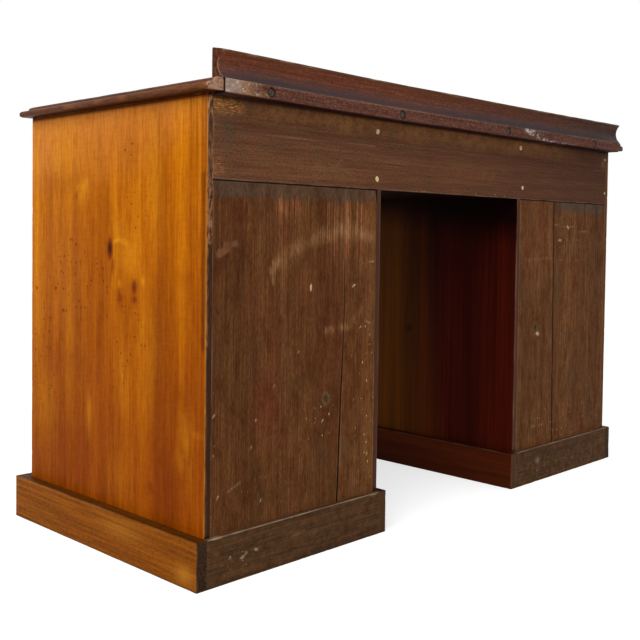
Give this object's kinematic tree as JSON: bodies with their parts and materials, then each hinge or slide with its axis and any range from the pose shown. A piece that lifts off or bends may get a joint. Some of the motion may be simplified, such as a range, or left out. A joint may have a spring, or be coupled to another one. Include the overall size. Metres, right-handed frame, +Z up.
{
  "type": "pedestal writing desk",
  "caption": "Twin-pedestal kneehole writing desk in old wood, with sliding drawers, a moulded top and a low cove-backed gallery.",
  "frame": {"origin": "on the floor, at the centre of the desk's plan", "axes": "+Z up, +Y towards the back with the gallery, so the drawer fronts face -Y, +X to the seated user's right"},
  "size_m": [1.24, 0.55, 0.781],
  "materials": {
    "top_wood": "old red-brown polish, worn",
    "end_wood": "golden old varnish",
    "back_wood": "dark stain, dry and scuffed",
    "kneehole_wood": "dark red stain, satin",
    "plinth_wood": "brown varnish, scuffed",
    "front_wood": "polished",
    "knob_wood": "polished",
    "drawer_lining": "bare, aged",
    "carcass_wood": "bare, aged",
    "steel": "dull, slotted heads"
  },
  "bodies": {
    "carcass": {"back_board_left_inner": "back_wood", "back_board_left_outer": "back_wood", "back_board_right_inner": "back_wood", "back_board_right_outer": "back_wood", "drawer_bearers": "carcass_wood", "drawer_stops": "carcass_wood", "end_panel_left": "end_wood", "end_panel_right": "end_wood", "frieze_bottom_rail": "front_wood", "frieze_top_rail": "front_wood", "gallery": "top_wood", "glue_blocks": "carcass_wood", "kneehole_panel_left": "kneehole_wood", "kneehole_panel_right": "kneehole_wood", "kneehole_soffit": "kneehole_wood", "pedestal_floor_left": "carcass_wood", "pedestal_floor_right": "carcass_wood", "pedestal_rails": "front_wood", "plinth_left_front": "plinth_wood", "plinth_left_inner": "plinth_wood", "plinth_left_outer": "plinth_wood", "plinth_left_rear": "plinth_wood", "plinth_right_front": "plinth_wood", "plinth_right_inner": "plinth_wood", "plinth_right_outer": "plinth_wood", "plinth_right_rear": "plinth_wood", "rear_edge_strip": "top_wood", "rear_strip_screws": "steel", "top_moulding_front": "top_wood", "top_moulding_left": "top_wood", "top_moulding_right": "top_wood", "upper_back_board": "back_wood", "writing_top": "top_wood"},
    "drawer_frieze_centre": {"drawer_front_frieze_centre": "front_wood", "drawer_box_frieze_centre": "drawer_lining", "knobs_frieze_centre": "knob_wood"},
    "drawer_frieze_left": {"drawer_front_frieze_left": "front_wood", "drawer_box_frieze_left": "drawer_lining", "knobs_frieze_left": "knob_wood"},
    "drawer_frieze_right": {"drawer_front_frieze_right": "front_wood", "drawer_box_frieze_right": "drawer_lining", "knobs_frieze_right": "knob_wood"},
    "drawer_left_top": {"drawer_front_left_top": "front_wood", "drawer_box_left_top": "drawer_lining", "knobs_left_top": "knob_wood"},
    "drawer_left_middle": {"drawer_front_left_middle": "front_wood", "drawer_box_left_middle": "drawer_lining", "knobs_left_middle": "knob_wood"},
    "drawer_left_bottom": {"drawer_front_left_bottom": "front_wood", "drawer_box_left_bottom": "drawer_lining", "knobs_left_bottom": "knob_wood"},
    "drawer_right_top": {"drawer_front_right_top": "front_wood", "drawer_box_right_top": "drawer_lining", "knobs_right_top": "knob_wood"},
    "drawer_right_middle": {"drawer_front_right_middle": "front_wood", "drawer_box_right_middle": "drawer_lining", "knobs_right_middle": "knob_wood"},
    "drawer_right_bottom": {"drawer_front_right_bottom": "front_wood", "drawer_box_right_bottom": "drawer_lining", "knobs_right_bottom": "knob_wood"}
  },
  "joints": [
    {"name": "slide_frieze_centre", "type": "slide", "parent": "carcass", "child": "drawer_frieze_centre", "axis": [0, -1, 0], "range_m": [0, 0.36]},
    {"name": "slide_frieze_left", "type": "slide", "parent": "carcass", "child": "drawer_frieze_left", "axis": [0, -1, 0], "range_m": [0, 0.36]},
    {"name": "slide_frieze_right", "type": "slide", "parent": "carcass", "child": "drawer_frieze_right", "axis": [0, -1, 0], "range_m": [0, 0.36]},
    {"name": "slide_left_top", "type": "slide", "parent": "carcass", "child": "drawer_left_top", "axis": [0, -1, 0], "range_m": [0, 0.36]},
    {"name": "slide_left_middle", "type": "slide", "parent": "carcass", "child": "drawer_left_middle", "axis": [0, -1, 0], "range_m": [0, 0.36]},
    {"name": "slide_left_bottom", "type": "slide", "parent": "carcass", "child": "drawer_left_bottom", "axis": [0, -1, 0], "range_m": [0, 0.36]},
    {"name": "slide_right_top", "type": "slide", "parent": "carcass", "child": "drawer_right_top", "axis": [0, -1, 0], "range_m": [0, 0.36]},
    {"name": "slide_right_middle", "type": "slide", "parent": "carcass", "child": "drawer_right_middle", "axis": [0, -1, 0], "range_m": [0, 0.36]},
    {"name": "slide_right_bottom", "type": "slide", "parent": "carcass", "child": "drawer_right_bottom", "axis": [0, -1, 0], "range_m": [0, 0.36]}
  ]
}
